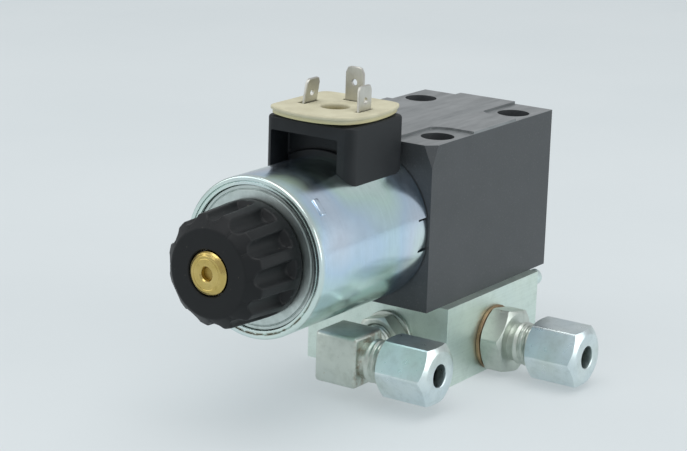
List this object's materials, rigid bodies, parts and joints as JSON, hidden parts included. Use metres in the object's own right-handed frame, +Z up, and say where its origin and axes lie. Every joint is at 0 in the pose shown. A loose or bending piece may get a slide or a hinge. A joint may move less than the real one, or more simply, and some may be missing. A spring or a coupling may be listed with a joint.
{
  "type": "solenoid directional valve",
  "caption": "Directional spool valve with a round wet-pin solenoid, fluted coil nut and plug connector base, bolted to a small connection block with elbow and straight tube fittings.",
  "frame": {"origin": "on the connection block's base plane, under the centre of the four valve screws", "axes": "+X along the spool away from the coil, -Y the way the tube fittings open, +Z up from the base"},
  "size_m": [0.1379, 0.0759, 0.0878],
  "materials": {
    "body_iron": "phosphated dark grey, satin, with fine milling marks",
    "screw_steel": "black oxide",
    "seal_rubber": "smooth",
    "block_steel": "zinc plated, milled, slightly green grey",
    "block_plug_steel": "zinc plated",
    "ground_steel": "ground bright",
    "spring_steel": "drawn wire",
    "plug_steel": "zinc plated",
    "core_steel": "turned",
    "ring_bronze": "turned",
    "brass": "turned bright with light tarnish",
    "brass_pin": "turned",
    "can_zinc": "zinc plated, blue and lavender tints",
    "disc_zinc": "zinc plated, turned",
    "bobbin_plastic": "moulded",
    "copper_wire": "enamelled",
    "housing_plastic": "moulded, fine grain",
    "blade_nickel": "dull nickel plate",
    "gasket_rubber": "cream, smooth, slightly yellowed",
    "nut_plastic": "moulded glass filled plastic",
    "fitting_zinc": "zinc plated, dull with rust stains",
    "union_zinc": "zinc plated, bluish",
    "washer_copper": "stained"
  },
  "bodies": {
    "valve": {"valve_body": "body_iron", "mounting_screws": "screw_steel", "port_seals": "seal_rubber", "sub_block": "block_steel", "block_plugs": "block_plug_steel", "return_spring": "spring_steel", "end_plug": "plug_steel", "end_plug_seal": "seal_rubber", "pole_piece": "core_steel", "tube_ring": "ring_bronze", "pole_tube": "core_steel", "tube_seal": "seal_rubber", "override_bush": "brass", "override_seal": "seal_rubber", "elbow_body": "fitting_zinc", "elbow_lock_nut": "fitting_zinc", "elbow_washer": "fitting_zinc", "straight_body": "fitting_zinc", "straight_washer": "washer_copper"},
    "spool_set": {"spool": "ground_steel", "spring_seat": "ground_steel"},
    "armature_set": {"armature": "core_steel", "push_pin": "ground_steel"},
    "override": {"override_pin": "brass_pin"},
    "coil": {"coil_can": "can_zinc", "front_disc": "disc_zinc", "rear_disc": "disc_zinc", "bobbin": "bobbin_plastic", "winding": "copper_wire", "coil_seal": "seal_rubber", "connector_housing": "housing_plastic", "terminal_left": "blade_nickel", "terminal_right": "blade_nickel", "earth_terminal": "blade_nickel", "terminal_nut": "brass_pin", "connector_gasket": "gasket_rubber"},
    "coil_nut_thread": {"nut_seal": "seal_rubber"},
    "coil_nut": {"coil_nut": "nut_plastic", "nut_insert": "brass_pin"},
    "elbow_thread": {"elbow_ring": "fitting_zinc"},
    "elbow_nut": {"elbow_union_nut": "union_zinc"},
    "straight_thread": {"straight_ring": "fitting_zinc"},
    "straight_nut": {"straight_union_nut": "union_zinc"}
  },
  "joints": [
    {"name": "spool_slide", "type": "slide", "parent": "valve", "child": "spool_set", "axis": [1, 0, 0], "range_m": [0, 0.003], "stiffness_N_per_m": 3000, "springref_m": -0.008, "deforming": ["return_spring"]},
    {"name": "armature_slide", "type": "slide", "parent": "valve", "child": "armature_set", "axis": [1, 0, 0], "range_m": [0, 0.003]},
    {"name": "override_slide", "type": "slide", "parent": "valve", "child": "override", "axis": [1, 0, 0], "range_m": [0, 0.003]},
    {"name": "coil_swivel", "type": "hinge", "parent": "valve", "child": "coil", "pos_m": [-0.057, 0, 0.0448], "axis": [1, 0, 0], "range_deg": [-90, 90]},
    {"name": "coil_nut_travel", "type": "slide", "parent": "valve", "child": "coil_nut_thread", "axis": [-1, 0, 0], "range_m": [0, 0.0076]},
    {"name": "coil_nut_turn", "type": "hinge", "parent": "coil_nut_thread", "child": "coil_nut", "pos_m": [-0.09, 0, 0.0448], "axis": [-1, 0, 0], "range_deg": [0, 1800]},
    {"name": "elbow_nut_travel", "type": "slide", "parent": "valve", "child": "elbow_thread", "axis": [0, -1, 0], "range_m": [0, 0.0061]},
    {"name": "elbow_nut_turn", "type": "hinge", "parent": "elbow_thread", "child": "elbow_nut", "pos_m": [-0.0452, -0.027, 0.0113], "axis": [0, -1, 0], "range_deg": [0, 1440]},
    {"name": "straight_nut_travel", "type": "slide", "parent": "valve", "child": "straight_thread", "axis": [0, -1, 0], "range_m": [0, 0.0061]},
    {"name": "straight_nut_turn", "type": "hinge", "parent": "straight_thread", "child": "straight_nut", "pos_m": [-0.001, -0.047, 0.0093], "axis": [0, -1, 0], "range_deg": [0, 1440]}
  ],
  "couplings": [
    {"joint": "armature_slide", "follows": "spool_slide", "ratio": 1},
    {"joint": "override_slide", "follows": "spool_slide", "ratio": 1},
    {"joint": "coil_nut_travel", "follows": "coil_nut_turn", "m_per_rad": 0.00023873},
    {"joint": "elbow_nut_travel", "follows": "elbow_nut_turn", "m_per_rad": 0.00023873},
    {"joint": "straight_nut_travel", "follows": "straight_nut_turn", "m_per_rad": 0.00023873}
  ]
}
